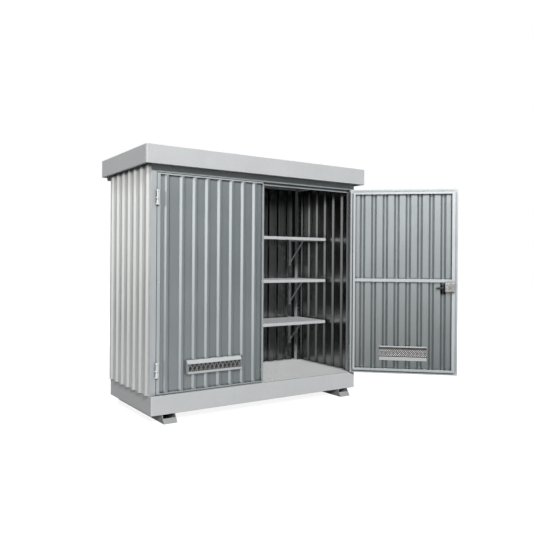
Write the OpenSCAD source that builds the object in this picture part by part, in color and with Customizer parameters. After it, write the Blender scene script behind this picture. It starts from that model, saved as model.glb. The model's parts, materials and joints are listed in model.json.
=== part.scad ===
/* [Base] */
// Width of the base, side to side
base_w = 2250; // [2000:10:2600]
// Depth of the base, front to back
base_d = 1000; // [900:10:1200]
// Height of the folded base
base_h = 160; // [140:5:200]
// Sheet thickness of the base
base_t = 3; // [2:0.5:5]
// Radius of the base's upright folded corners
base_r = 10; // [4:1:15]

/* [Runners] */
// Height of the runners under the base
runner_h = 70; // [60:5:100]
// Width of one runner
runner_w = 123; // [90:1:150]
// Distance from the side of the base to a runner
runner_inset = 98; // [60:1:200]
// How far a runner's sloping nose reaches past the base at the ground
runner_nose = 42; // [20:1:60]
// Sheet thickness of the runners
runner_t = 5; // [3:0.5:8]
// Height of the plate across a runner's nose, which is open above it
nose_lip = 41; // [20:1:50]

/* [Body] */
// Distance from the front of the base back to the front of the posts
front_setback = 27; // [20:1:40]
// Distance from the back of the base in to the back of the posts
rear_setback = 15; // [10:1:30]
// Side of the square posts and rails
post_w = 50; // [40:1:60]
// Wall thickness of the posts and rails
post_t = 3; // [2:0.5:4]
// Height from the base to the top of the front frame
front_frame_h = 2068; // [1900:1:2300]
// How far the roof deck falls from the front frame to the rear rail
deck_fall = 40; // [20:5:60]
// Height of the rear and side top rails
top_rail_h = 60; // [50:1:80]
// Drop of the side rails below the rear rail's top
side_rail_drop = 8; // [4:1:20]
// Height of the lintel over the doors
lintel_h = 182; // [120:1:240]
// Height of the lintel's stop flange behind the doors
stop_flange_h = 27; // [24:1:32]

/* [Ribbed sheets] */
// Depth of the sheets' ribs
rib_depth = 20; // [15:1:25]
// Width of a rib's crest on the walls and the deck
rib_crest = 24; // [18:1:28]
// Width of a rib's crest on the doors
door_crest = 20; // [16:1:26]
// Width of a rib's sloping flank
rib_flank = 18; // [12:1:20]
// Thickness of the ribbed sheets
sheet_t = 1; // [0.8:0.1:1.5]
// Rib spacing of the side walls
side_pitch = 142.5; // [125:0.5:145]
// From the front of the left wall to its first rib
side_rib_first = 71; // [60:1:80]
// Rib spacing of the rear wall and the deck
sheet_pitch = 125; // [110:1:135]
// How far the side walls lap over the base
sheet_lap = 4; // [2:1:10]

/* [Roof] */
// Roof overhang past the base at each side
roof_side = 80; // [60:1:100]
// Roof overhang past the base at the front
roof_front = 54; // [40:1:70]
// Roof overhang past the base at the back
roof_rear = 63; // [60:1:80]
// Height of the fascia
fascia_h = 156; // [140:1:180]
// Height of the fascia's top above the front frame
fascia_rise = 30; // [30:1:45]
// Sheet thickness of the fascia
fascia_t = 3; // [2:0.5:4]
// Width of the fascia's inward top flange
fascia_top = 30; // [20:1:40]
// Width of the fascia's inward bottom flange
fascia_bottom = 20; // [12:1:25]
// Radius of the fascia's upright corners
fascia_r = 14; // [5:1:20]
// Depth of the gutter
gutter_h = 55; // [45:1:70]
// How far the gutter hangs below the fascia
gutter_drop = 32; // [25:1:40]
// How far the gutter reaches past the base at each side
gutter_end = 32; // [20:1:60]
// Gap between the rear wall's ribs and the gutter
gutter_gap = 2; // [1:1:8]
// Sheet thickness of the gutter
gutter_t = 2; // [1:0.5:3]

/* [Floor and shelves] */
// Depth of the floor grating
grating_h = 30; // [25:1:40]
// Play around the floor gratings
grating_play = 1; // [0.5:0.5:3]
// Leg of the angle bearers under the grating
bearer_leg = 40; // [30:1:50]
// Thickness of the angle bearers
bearer_t = 4; // [3:0.5:6]
// Height of the lowest shelf above the base
shelf_first = 500; // [400:10:600]
// Height between shelves
shelf_pitch = 450; // [350:10:500]
// Depth of a shelf, front to back
shelf_d = 498; // [400:1:550]
// Height of a shelf's folded edge
shelf_edge = 32; // [25:1:40]
// Sheet thickness of a shelf
shelf_t = 2; // [1.5:0.5:3]
// Gap between a shelf's end and the side wall
shelf_end_gap = 36; // [20:1:45]
// Length of a shelf bracket's arm, from the rear wall
bracket_arm = 515; // [300:5:530]
// Reach of a shelf bracket's strut along the arm
bracket_strut = 280; // [200:10:300]
// Depth of a shelf bracket's bars
bracket_bar = 24; // [18:1:30]
// Thickness of a shelf bracket
bracket_t = 4; // [3:0.5:6]

/* [Doors] */
// Gap under the doors
door_bottom_gap = 6; // [6:1:25]
// Gap between a door leaf and the posts or lintel
door_gap = 5; // [5:0.5:8]
// Gap between the two door leaves
meet_gap = 6; // [6:0.5:9]
// Width of the leaf's front rim at the hinges
rim_hinge = 30; // [28:1:40]
// Width of the leaf's front rim at the top and bottom
rim_edge = 12; // [8:1:16]
// Width of the leaf's front rim at the meeting edge
rim_meet = 7; // [5:1:12]
// Thickness of the leaf's rear flange
rim_back = 3; // [2:0.5:4]
// Width of the rear flange, outside the inner frame
flange_w = 28; // [26:1:34]
// Depth of the leaf's inner frame
inner_d = 28; // [20:1:32]
// Width of the inner frame at the top, bottom and hinge side
inner_w = 22; // [18:1:30]
// Width of the inner frame at the meeting edge
inner_meet = 31; // [26:1:40]
// Wall thickness of the inner frame
inner_t = 2; // [1.5:0.5:3]
// Height of the middle rail's underside above the leaf's bottom
rail_z = 934; // [800:1:1000]
// Height of the middle rail
rail_h = 31; // [25:1:40]
// How far the left leaf's stop strip reaches past its edge
strip_reach = 28; // [12:1:28]
// Thickness of the stop strip
strip_t = 3; // [2:0.5:4]
// From the left leaf's hinge edge to its first rib
left_rib_first = 95.5; // [90:0.5:110]
// From the left leaf's first rib to its second
left_rib_second = 145.5; // [110:0.5:150]
// Spacing of the left leaf's other ribs
left_rib_pitch = 123.5; // [110:0.5:125]
// From the right leaf's hinge edge to its first rib
right_rib_first = 121.5; // [90:0.5:130]
// Rib spacing of the right leaf
right_rib_pitch = 115; // [105:0.5:120]
// Angle at which the right leaf stands open
right_open = 137; // [90:1:160]

/* [Vents] */
// From the left leaf's hinge edge to its vent's middle
left_vent_u = 555; // [540:1:570]
// Width of the left leaf's vent
left_vent_w = 546; // [450:1:550]
// From the right leaf's hinge edge to its vent's middle
right_vent_u = 532.5; // [520:0.5:545]
// Width of the right leaf's vent
right_vent_w = 499; // [450:1:505]
// Height of a door vent
vent_h = 118; // [90:1:140]
// Height of the vent's centre above the leaf's bottom
vent_z = 209.5; // [190:0.5:240]
// Sheet thickness of the vent's housing
vent_t = 4; // [2:0.5:6]
// How far the vent stands out in front of the leaf
vent_out = 27; // [16:1:30]
// Height of the vent's sloping hood
vent_hood = 29; // [25:1:50]
// Height of the lip along the bottom of the vent's mouth
vent_lip = 21.5; // [8:0.5:30]
// From the vent's ends to the opening in the sheet
opening_margin = 12; // [8:1:40]
// From the vent's bottom up to the opening in the sheet
opening_sill = 17; // [8:1:30]
// From the opening in the sheet up to the vent's top
opening_head = 4; // [4:1:12]
// Height of the strip behind the sheet, below the opening
low_strip_h = 36; // [20:1:45]
// Height of the strip behind the sheet, above the opening
high_strip_h = 16; // [10:1:30]
// Thickness of these two strips
vent_strip_t = 2; // [1:0.5:3]
// Distance of the outer perforated plate in from the vent's mouth
mesh_inset = 2; // [1:0.5:6]
// Distance of the inner perforated plate in from the sheet
mesh_recess = 10; // [4:1:14]
// Thickness of the vent's perforated plates
mesh_t = 1.5; // [1:0.5:3]

/* [Hinges] */
// Radius of a hinge barrel
barrel_r = 8; // [7:0.5:9]
// Radius of a hinge pin
pin_r = 5; // [4:0.5:6]
// Running clearance around a hinge pin
pin_play = 0.05; // [0.02:0.01:0.1]
// Height of a whole hinge
hinge_h = 130; // [100:1:160]
// Gap between the two halves of a hinge
hinge_gap = 1; // [0.5:0.5:2]
// Distance from the leaf's top or bottom to a hinge's centre
hinge_inset = 208; // [150:1:250]
// Distance from the leaf's face out to the hinge axis
hinge_out = 13; // [13:0.5:16]
// Reach of a hinge wing from the axis
wing_reach = 30; // [26:1:31]
// Thickness of a hinge wing
wing_t = 5; // [4:0.5:6]

/* [Lock] */
// Width of the lock case
case_w = 94; // [80:1:110]
// Height of the lock case
case_h = 96; // [80:1:120]
// How far the lock case stands in from the inner frame
case_out = 26; // [20:1:35]
// Radius of the round boss on the lock case
boss_r = 16; // [10:1:25]
// Height of the boss
boss_t = 5; // [2:1:8]
// Distance from the leaf's meeting edge to the lock case
case_inset = 32; // [30:1:40]
// Height of the spindle below the middle rail
spindle_drop = 60; // [50:1:70]
// Radius of the handle's spindle
spindle_r = 5; // [4:0.5:6]
// Clearance around the spindle
spindle_play = 0.5; // [0.3:0.1:1]
// Radius of the handle's hubs
hub_r = 8; // [7:0.5:9]
// Length of the inner lever from its spindle
inner_lever = 69; // [50:1:90]
// Length of the outer lever from its spindle
outer_lever = 115; // [90:1:130]
// Height of a lever at its hub
lever_h = 26; // [20:1:30]
// Height of a lever at its tip
lever_tip = 16; // [10:1:20]
// Thickness of a lever
lever_t = 12; // [8:1:14]
// Width of the lock plates
plate_w = 18; // [16:1:20]
// Height of the inner lock plate
inner_plate_h = 90; // [70:1:120]
// How far the inner lock plate's middle lies below the spindle
inner_plate_drop = 14; // [0:1:20]
// Thickness of the inner lock plate
inner_plate_t = 14; // [10:1:20]
// Height of the outer lock plate
outer_plate_h = 150; // [120:1:200]
// Thickness of the outer lock plate
outer_plate_t = 4; // [3:0.5:6]
// Gap between a lever and the face that it turns over
lever_gap = 8; // [5:1:12]

/* [Hidden] */
$fn = 48;

STEEL = "gainsboro";
GALVANISED = "silver";
SHEET = "darkgray";
DARK = "dimgray";
BLACK = "black";

// Levels, measured up from the ground
base_top = runner_h + base_h;
front_top = base_top + front_frame_h;
rear_top = front_top - deck_fall;
side_top = rear_top - side_rail_drop;
door_z = base_top + door_bottom_gap;
lintel_z = front_top - lintel_h;
door_h = lintel_z - door_gap - door_z;
fascia_top_z = front_top + fascia_rise;
fascia_z = fascia_top_z - fascia_h;

// Plan positions, with the origin at the middle of the base
side_x = base_w / 2;
post_x = side_x - post_w;
front_y = -base_d / 2 + front_setback;
rear_y = base_d / 2 - rear_setback;
body_d = rear_y - front_y;
shelf_rear_y = rear_y - post_w;
fascia_x = side_x + roof_side;
fascia_front_y = -base_d / 2 - roof_front;
fascia_rear_y = base_d / 2 + roof_rear;
rib_half = rib_crest / 2 + rib_flank;

// The side walls' ribs, counted from the front of the left wall
side_ribs = rib_row(side_rib_first, body_d, side_pitch);

// The rear wall's ribs, an even number, and the outer flats that carry the shelf brackets
rear_rib_count = 2 * floor(base_w / 2 / sheet_pitch);
bracket_x = floor((post_x - bracket_bar) / sheet_pitch) * sheet_pitch;

// One door leaf, before it is hung: u from its hinge edge, w back from its face, z from its bottom
leaf_w = post_x - door_gap - meet_gap / 2;
leaf_rear = rib_depth + sheet_t;
frame_rear = leaf_rear + inner_d;
axis_u = -door_gap / 2;
axis_x = post_x - door_gap / 2;
axis_y = front_y - hinge_out;

// The leaves' ribs, and the rib of the right leaf that holds the spindle beside the lock case
rib_end = leaf_w - rim_hinge;
left_ribs = concat([left_rib_first], rib_row(left_rib_first + left_rib_second, rib_end, left_rib_pitch));
right_ribs = rib_row(right_rib_first, rib_end, right_rib_pitch);
case_u = leaf_w - case_inset - case_w;
spindle_u = max([for (c = right_ribs) if (c < case_u - plate_w / 2) c]);
spindle_z = rail_z - spindle_drop;
inner_lever_w = leaf_rear + inner_plate_t + lever_gap;
outer_lever_w = -outer_plate_t - lever_gap - lever_t;

// Square tube from one low corner to the opposite high corner, open along axis 0, 1 or 2
module tube(low, high, axis) {
    size = high - low;
    wall = [for (i = [0:2]) i == axis ? 0 : post_t];
    over = [for (i = [0:2]) i == axis ? 1 : 0];
    translate(low) difference() {
        cube(size);
        translate(wall - over) cube(size - 2 * wall + 2 * over);
    }
}

// Outline of a ribbed sheet: x along the sheet, ribs standing out towards -y
function rib_edge(length, ribs, crest) = concat(
    [[0, 0]],
    [for (c = ribs) each [
        [c - crest / 2 - rib_flank, 0], [c - crest / 2, -rib_depth],
        [c + crest / 2, -rib_depth], [c + crest / 2 + rib_flank, 0]]],
    [[length, 0]]
);

module ribbed_sheet(length, height, ribs, crest) {
    edge = rib_edge(length, ribs, crest);
    last = len(edge) - 1;
    linear_extrude(height) polygon(concat(
        [for (p = edge) p - [0, sheet_t]],
        [for (i = [0:last]) edge[last - i]]
    ));
}

// Middles of the ribs that fit on a sheet of this length, from the first one on
function rib_row(first, length, pitch) = [for (c = [first:pitch:length - rib_half]) c];

// Middles of a number of ribs, centred on a sheet of this length
function centred_ribs(length, pitch, count) =
    [for (i = [0:count - 1]) (length - (count - 1) * pitch) / 2 + i * pitch];

module base_tray() {
    color(STEEL) translate([0, 0, runner_h]) {
        difference() {
            base_block(0, 0, base_h);
            base_block(base_t, base_t, base_h);
        }
        translate([0, 0, base_h - base_t]) difference() {
            base_block(base_t / 2, 0, base_t);
            translate([-post_x, front_y, -1]) cube([2 * post_x, shelf_rear_y - front_y, base_t + 2]);
        }
    }
}

// The base's plan, drawn in by inset, from z0 up to z1
module base_block(inset, z0, z1) {
    r = max(base_r - inset, 0.5);
    translate([0, 0, z0]) linear_extrude(z1 - z0) round_rect(base_w - 2 * inset, base_d - 2 * inset, r);
}

// Rectangle with round corners, centred on the origin
module round_rect(w, d, r) {
    square([w - 2 * r, d], center = true);
    square([w, d - 2 * r], center = true);
    for (x = [-1, 1], y = [-1, 1]) translate([x * (w / 2 - r), y * (d / 2 - r)]) circle(r);
}

module runner(side) {
    x0 = side * (side_x - runner_inset - runner_w / 2) - runner_w / 2;
    wall = runner_t;
    nose = base_d / 2 + runner_nose;
    slope = runner_nose / runner_h;
    color(DARK) difference() {
        runner_block(x0, x0 + runner_w, nose, 0, runner_h, slope);
        runner_block(x0 + wall, x0 + runner_w - wall, nose - wall * (1 + slope), wall, runner_h + 1, slope);
        runner_block(x0 + wall, x0 + runner_w - wall, nose, nose_lip, runner_h + 1, 0);
    }
}

// Bar across the depth whose ends lean in by slope for each unit of height
module runner_block(x0, x1, nose, z0, z1, slope) {
    in = slope * (z1 - z0);
    translate([x0, 0, 0]) rotate([90, 0, 90]) linear_extrude(x1 - x0)
        polygon([[-nose, z0], [nose, z0], [nose - in, z1], [in - nose, z1]]);
}

module grating_bearers() {
    inside = base_d - 2 * base_t;
    top = base_top - grating_h;
    color(GALVANISED) for (x = [-post_x - bearer_t, -bearer_leg / 2, post_x + bearer_t - bearer_leg])
        translate([x, -inside / 2, top - bearer_leg]) difference() {
            cube([bearer_leg, inside, bearer_leg]);
            translate([bearer_t, -1, -bearer_t]) cube([bearer_leg, inside + 2, bearer_leg]);
        }
}

module grating(side) {
    w = post_x - 2 * grating_play;
    x0 = side > 0 ? grating_play : -grating_play - w;
    color(GALVANISED) translate([x0, front_y + grating_play, base_top - grating_h])
        cube([w, shelf_rear_y - front_y - 2 * grating_play, grating_h]);
}

module post(x0, y0, top) {
    color(STEEL) tube([x0, y0, base_top], [x0 + post_w, y0 + post_w, top], 2);
}

module lintel() {
    color(STEEL) translate([-post_x, front_y, 0]) {
        difference() {
            translate([0, 0, lintel_z]) cube([2 * post_x, post_w, front_top - lintel_z]);
            translate([-1, post_t, lintel_z + post_t])
                cube([2 * post_x + 2, post_w, front_top - lintel_z - 2 * post_t]);
        }
        translate([0, leaf_rear + rim_back + door_gap, lintel_z - stop_flange_h])
            cube([2 * post_x, post_t, stop_flange_h + post_t]);
    }
}

module side_rail(side) {
    x0 = side > 0 ? post_x : -side_x;
    color(STEEL)
        tube([x0, front_y + post_w, side_top - top_rail_h], [x0 + post_w, shelf_rear_y, side_top], 1);
}

module side_wall(side) {
    last = len(side_ribs) - 1;
    ribs = [for (i = [0:last]) side > 0 ? side_ribs[i] : body_d - side_ribs[last - i]];
    z0 = base_top - sheet_lap;
    color(SHEET) mirror([side > 0 ? 1 : 0, 0, 0]) translate([-side_x, rear_y, z0]) rotate([0, 0, -90])
        ribbed_sheet(body_d, side_top - z0, ribs, rib_crest);
}

module rear_wall() {
    ribs = centred_ribs(base_w, sheet_pitch, rear_rib_count);
    color(SHEET) translate([side_x, rear_y, base_top]) rotate([0, 0, 180])
        ribbed_sheet(base_w, side_top - base_top, ribs, rib_crest);
}

module roof_deck() {
    w = 2 * (fascia_x - fascia_t);
    front = front_y + post_w;
    run = rear_y - front;
    tilt = atan(deck_fall / run);
    ahead = (front - fascia_front_y - fascia_r) / cos(tilt);
    behind = (base_d / 2 + roof_rear / 2 - front) / cos(tilt);
    ribs = centred_ribs(w, sheet_pitch, len(rib_row(sheet_pitch / 2, w, sheet_pitch)));
    color(SHEET) translate([0, front, front_top]) rotate([-tilt, 0, 0])
        translate([-w / 2, -ahead, 0]) rotate([-90, 0, 0])
            ribbed_sheet(w, ahead + behind, ribs, rib_crest);
}

// The whole fascia as a ring, with its flanges
module fascia_ring(bottom) {
    translate([0, (fascia_front_y + fascia_rear_y) / 2, 0]) {
        fascia_band(fascia_t, fascia_z, fascia_top_z);
        fascia_band(fascia_top, fascia_top_z - fascia_t, fascia_top_z);
        if (bottom) fascia_band(fascia_bottom, fascia_z, fascia_z + fascia_t);
    }
}

module fascia_band(width, z0, z1) {
    w = 2 * fascia_x;
    d = fascia_rear_y - fascia_front_y;
    translate([0, 0, z0]) linear_extrude(z1 - z0) difference() {
        round_rect(w, d, fascia_r);
        round_rect(w - 2 * width, d - 2 * width, max(fascia_r - width, 0.5));
    }
}

// One side of the fascia, cut at 45 degrees: 0 front, 1 right, 2 rear, 3 left
module fascia_side(i) {
    half = [fascia_x, (fascia_rear_y - fascia_front_y) / 2];
    cy = (fascia_front_y + fascia_rear_y) / 2;
    run = half[i % 2];
    other = half[(i + 1) % 2];
    color(STEEL) intersection() {
        fascia_ring(i != 2);
        translate([0, cy, fascia_z - 1]) rotate([0, 0, 90 * i]) linear_extrude(fascia_h + 2)
            polygon([
                [-run - fascia_top, -other - fascia_top],
                [run + fascia_top, -other - fascia_top],
                [run - 2 * fascia_top, 2 * fascia_top - other],
                [2 * fascia_top - run, 2 * fascia_top - other]
            ]);
    }
}

module gutter() {
    y0 = rear_y + sheet_t + rib_depth + gutter_gap;
    y1 = fascia_rear_y - fascia_t;
    z0 = fascia_z - gutter_drop;
    l = base_w + 2 * gutter_end;
    lean = (y1 - y0) / 2;
    color(GALVANISED) difference() {
        gutter_block(l, y0, y1, z0, z0 + gutter_h, lean);
        gutter_block(l - 2 * gutter_t, y0 + gutter_t, y1 - gutter_t, z0 + gutter_t, z0 + gutter_h + 1, lean);
    }
}

module gutter_block(l, y0, y1, z0, z1, lean) {
    translate([-l / 2, 0, 0]) rotate([90, 0, 90]) linear_extrude(l)
        polygon([[y0, z0], [y1 - lean, z0], [y1, z1], [y0, z1]]);
}

module shelf(i) {
    x = side_x - shelf_end_gap;
    top = base_top + shelf_first + i * shelf_pitch;
    color(GALVANISED) translate([-x, shelf_rear_y - shelf_d, top - shelf_edge]) difference() {
        cube([2 * x, shelf_d, shelf_edge]);
        translate([shelf_t, shelf_t, -shelf_t]) cube([2 * (x - shelf_t), shelf_d, shelf_edge]);
    }
}

module shelf_brackets() {
    gap = rear_y - shelf_rear_y;
    color(GALVANISED) for (i = [0:2], k = [-1:1])
        translate([k * bracket_x, rear_y, base_top + shelf_first + i * shelf_pitch - shelf_t]) {
            translate([-bracket_t / 2, 0, 0]) rotate([90, 0, 90]) linear_extrude(bracket_t) bracket_plate();
            translate([-bracket_bar / 2, -bracket_arm, -bracket_t])
                cube([bracket_bar, bracket_arm - gap, bracket_t]);
            translate([-bracket_bar / 2, -bracket_t, -bracket_strut - bracket_bar])
                cube([bracket_bar, bracket_t, bracket_strut + bracket_bar]);
        }
}

// Side view of a bracket: an arm, a leg on the rear wall and a strut between them
module bracket_plate() {
    bar = bracket_bar;
    reach = bracket_strut;
    translate([-bracket_arm, -bar]) square([bracket_arm, bar]);
    translate([-bar, -reach - bar]) square([bar, reach + bar]);
    polygon([[-reach, -bar / 2], [-reach + bar, -bar / 2], [-bar / 2, -reach + bar], [-bar / 2, -reach]]);
}

// Puts a leaf's pieces where they hang: side -1 left, 1 right
module hang(side) {
    open = side > 0 ? right_open : 0;
    translate([side * axis_x, axis_y, door_z]) rotate([0, 0, open])
        mirror([side > 0 ? 1 : 0, 0, 0]) translate([-axis_u, hinge_out, 0]) children();
}

// Rectangular frame in the leaf's plane: outer and inner are [u0, z0, u1, z1], w0 to w1 deep
module leaf_ring(outer, inner, w0, w1) {
    difference() {
        leaf_block(outer, w0, w1);
        leaf_block(inner, w0 - 1, w1 + 1);
    }
}

module leaf_block(box, w0, w1) {
    translate([box[0], w0, box[1]]) cube([box[2] - box[0], w1 - w0, box[3] - box[1]]);
}

function leaf_inset(hinge, edge, meet) = [hinge, edge, leaf_w - meet, door_h - edge];

module door_frame(side) {
    flange = leaf_inset(flange_w, flange_w, flange_w);
    inner = leaf_inset(flange_w + inner_w, flange_w + inner_w, flange_w + inner_meet);
    color(STEEL) hang(side) {
        leaf_ring(leaf_inset(0, 0, 0), leaf_inset(rim_hinge, rim_edge, rim_meet), 0, leaf_rear);
        leaf_ring(leaf_inset(0, 0, 0), flange, leaf_rear, leaf_rear + rim_back);
        difference() {
            leaf_ring(flange, inner, leaf_rear, frame_rear);
            leaf_ring(flange + inner_t * [1, 1, -1, -1], inner + inner_t * [-1, -1, 1, 1],
                leaf_rear - 1, frame_rear - inner_t);
        }
    }
}

module door_sheet(side) {
    w = leaf_w - rim_hinge - rim_meet;
    h = door_h - 2 * rim_edge;
    ribs = [for (c = side > 0 ? right_ribs : left_ribs) c - rim_hinge];
    color(SHEET) hang(side) difference() {
        translate([rim_hinge, leaf_rear, rim_edge]) ribbed_sheet(w, h, ribs, door_crest);
        leaf_block(vent_box(side, 0), -1, rib_depth);
        leaf_block(sheet_opening(side), -1, leaf_rear + 1);
        if (side > 0) translate([spindle_u, -1, spindle_z]) rotate([-90, 0, 0])
            cylinder(h = leaf_rear + 2, r = spindle_r + spindle_play);
    }
}

module door_rail(side) {
    u0 = flange_w + inner_w;
    u1 = leaf_w - flange_w - inner_meet;
    color(STEEL) hang(side) difference() {
        leaf_block([u0, rail_z, u1, rail_z + rail_h], leaf_rear, frame_rear);
        leaf_block([u0 - 1, rail_z + inner_t, u1 + 1, rail_z + rail_h - inner_t],
            leaf_rear - 1, frame_rear - inner_t);
    }
}

function vent_middle(side) = side > 0 ? right_vent_u : left_vent_u;
function vent_width(side) = side > 0 ? right_vent_w : left_vent_w;

// The vent's outline in the leaf's plane, drawn in by inset
function vent_box(side, inset) = [
    vent_middle(side) - vent_width(side) / 2 + inset, vent_z - vent_h / 2 + inset,
    vent_middle(side) + vent_width(side) / 2 - inset, vent_z + vent_h / 2 - inset
];

// The opening in the sheet behind the vent
function sheet_opening(side) =
    vent_box(side, 0) + [opening_margin, opening_sill, -opening_margin, -opening_head];

// Slope of the hood, its thickness measured upright, and where the outer perforated plate stands
vent_slope = vent_hood / vent_out;
hood_t = vent_t * sqrt(1 + vent_slope * vent_slope);
mesh_w = -vent_out + vent_t + mesh_inset;

// Side view of the vent's hood, or of its hollow, which is open towards the sheet
module vent_profile(hollow) {
    z0 = vent_z - vent_h / 2;
    z1 = vent_z + vent_h / 2;
    back = rib_depth;
    front = -vent_out;
    if (hollow) polygon([
        [front + vent_t, z0 + vent_t], [front + vent_t, z1 - hood_t + vent_slope * (front + vent_t)],
        [(hood_t - vent_t) / vent_slope, z1 - vent_t], [back + 1, z1 - vent_t], [back + 1, z0 + vent_t]
    ]);
    else polygon([[front, z0], [front, z1 - vent_hood], [0, z1], [back, z1], [back, z0]]);
}

// Stands a side view up in the leaf, from u0 across a width
module vent_extrude(u0, width) {
    translate([u0, 0, 0]) rotate([90, 0, 90]) linear_extrude(width) children();
}

module door_vent(side) {
    box = vent_box(side, 0);
    inner = vent_box(side, vent_t);
    mouth = [inner[0], box[1] + vent_lip, inner[2], box[3] - vent_hood - vent_t];
    gap = sheet_opening(side);
    color(STEEL) hang(side) {
        difference() {
            vent_extrude(box[0], box[2] - box[0]) vent_profile(false);
            vent_extrude(inner[0], inner[2] - inner[0]) vent_profile(true);
            leaf_block(mouth, -vent_out - 1, 0);
        }
        leaf_block([gap[0], gap[1] - low_strip_h, gap[2], gap[1]], leaf_rear, leaf_rear + vent_strip_t);
        leaf_block([gap[0], gap[3], gap[2], gap[3] + high_strip_h], leaf_rear, leaf_rear + vent_strip_t);
    }
}

module door_mesh(side) {
    inner = vent_box(side, vent_t);
    ceiling = vent_box(side, 0)[3] - hood_t + vent_slope * mesh_w;
    rear_w = rib_depth - mesh_recess;
    color(BLACK) hang(side) {
        leaf_block([inner[0], inner[1], inner[2], ceiling], mesh_w, mesh_w + mesh_t);
        leaf_block(inner, rear_w - mesh_t, rear_w);
    }
}

module door_strip() {
    w0 = leaf_rear + rim_back + door_gap;
    color(STEEL) hang(-1)
        leaf_block([leaf_w - flange_w, 0, leaf_w + strip_reach, door_h - flange_w], w0, w0 + strip_t);
}

// Heights of the two hinges' centres above the leaf's bottom
hinge_levels = [hinge_inset, door_h - hinge_inset];

// Plan of a half hinge: the barrel and the wing that lies on the face at y = hinge_out
module hinge_plan() {
    circle(barrel_r);
    polygon([
        [wing_reach, hinge_out], [wing_reach, hinge_out - wing_t], [wing_t * 2, hinge_out - wing_t],
        [barrel_r * 0.8, -barrel_r * 0.5], [0, 0], [barrel_r * 0.4, barrel_r * 0.8], [wing_t, hinge_out]
    ]);
}

module frame_hinges() {
    half = (hinge_h - hinge_gap) / 2;
    color(GALVANISED) for (side = [-1, 1], level = hinge_levels)
        translate([side * axis_x, axis_y, door_z + level - hinge_h / 2]) {
            mirror([side < 0 ? 1 : 0, 0, 0]) linear_extrude(half) hinge_plan();
            cylinder(h = hinge_h - pin_r, r = pin_r);
        }
}

module door_hinges(side) {
    half = (hinge_h - hinge_gap) / 2;
    color(GALVANISED) hang(side) for (level = hinge_levels)
        translate([axis_u, -hinge_out, level + hinge_gap / 2]) difference() {
            linear_extrude(half) hinge_plan();
            translate([0, 0, -1]) cylinder(h = half + 1 - pin_r + hinge_gap, r = pin_r + pin_play);
        }
}

module lock_case() {
    u0 = case_u;
    u1 = case_u + case_w;
    inner_u = leaf_w - flange_w - inner_meet;
    color(GALVANISED) hang(1) {
        leaf_block([u0, rail_z - case_h, u1, rail_z], frame_rear, frame_rear + case_out);
        leaf_block([u0, rail_z - case_h, inner_u, rail_z], leaf_rear, frame_rear + 1);
        translate([(u0 + u1) / 2, frame_rear + case_out - 1, rail_z - case_h / 2]) rotate([-90, 0, 0])
            cylinder(h = boss_t + 1, r = boss_r);
    }
}

module lock_plates() {
    r = spindle_r + spindle_play;
    u0 = spindle_u - plate_w / 2;
    inner_z = spindle_z - inner_plate_drop;
    color(BLACK) hang(1) difference() {
        union() {
            leaf_block([u0, inner_z - inner_plate_h / 2, u0 + plate_w, inner_z + inner_plate_h / 2],
                sheet_t, leaf_rear + inner_plate_t);
            leaf_block([u0, spindle_z - outer_plate_h / 2, u0 + plate_w, spindle_z + outer_plate_h / 2],
                -outer_plate_t, 0);
        }
        translate([spindle_u, -outer_plate_t - 1, spindle_z]) rotate([-90, 0, 0])
            cylinder(h = outer_plate_t + frame_rear, r = r);
    }
}

// Lever pointing back towards the hinges, w0 to w0 + lever_t deep
module lever(reach, w0) {
    translate([spindle_u, w0 + lever_t, spindle_z]) rotate([90, 0, 0]) linear_extrude(lever_t)
        polygon([[0, lever_h / 2], [-reach, lever_tip / 2], [-reach, -lever_tip / 2], [0, -lever_h / 2]]);
}

module door_handle() {
    hub_end = inner_lever_w + lever_t;
    color(BLACK) hang(1) {
        lever(inner_lever, inner_lever_w);
        lever(outer_lever, outer_lever_w);
        translate([spindle_u, outer_lever_w, spindle_z]) rotate([-90, 0, 0]) {
            cylinder(h = hub_end - outer_lever_w, r = spindle_r);
            cylinder(h = lever_t + lever_gap - 1, r = hub_r);
        }
        translate([spindle_u, leaf_rear + inner_plate_t + 1, spindle_z]) rotate([-90, 0, 0])
            cylinder(h = hub_end - leaf_rear - inner_plate_t - 1, r = hub_r);
    }
}

base_tray();
runner(-1);  // left_runner
runner(1);  // right_runner
grating_bearers();
grating(-1);  // left_grating
grating(1);  // right_grating
post(-side_x, front_y, front_top);  // front_left_post
post(post_x, front_y, front_top);  // front_right_post
post(-side_x, shelf_rear_y, rear_top);  // rear_left_post
post(post_x, shelf_rear_y, rear_top);  // rear_right_post
lintel();
color(STEEL)  // rear_rail
    tube([-post_x, shelf_rear_y, rear_top - top_rail_h], [post_x, rear_y, rear_top], 0);
side_rail(-1);  // left_rail
side_rail(1);  // right_rail
side_wall(-1);  // left_wall
side_wall(1);  // right_wall
rear_wall();
roof_deck();
fascia_side(0);  // front_fascia
fascia_side(1);  // right_fascia
fascia_side(2);  // rear_fascia
fascia_side(3);  // left_fascia
gutter();
shelf(0);  // lower_shelf
shelf(1);  // middle_shelf
shelf(2);  // upper_shelf
shelf_brackets();
frame_hinges();
door_frame(-1);  // left_door_frame
door_sheet(-1);  // left_door_sheet
door_rail(-1);  // left_door_rail
door_vent(-1);  // left_door_vent
door_mesh(-1);  // left_door_mesh
door_strip();  // left_door_strip
door_hinges(-1);  // left_door_hinges
door_frame(1);  // right_door_frame
door_sheet(1);  // right_door_sheet
door_rail(1);  // right_door_rail
door_vent(1);  // right_door_vent
door_mesh(1);  // right_door_mesh
door_hinges(1);  // right_door_hinges
lock_case();
lock_plates();
door_handle();
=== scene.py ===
import json
import math

import bmesh
import bpy
from mathutils import Matrix, Vector


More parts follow.
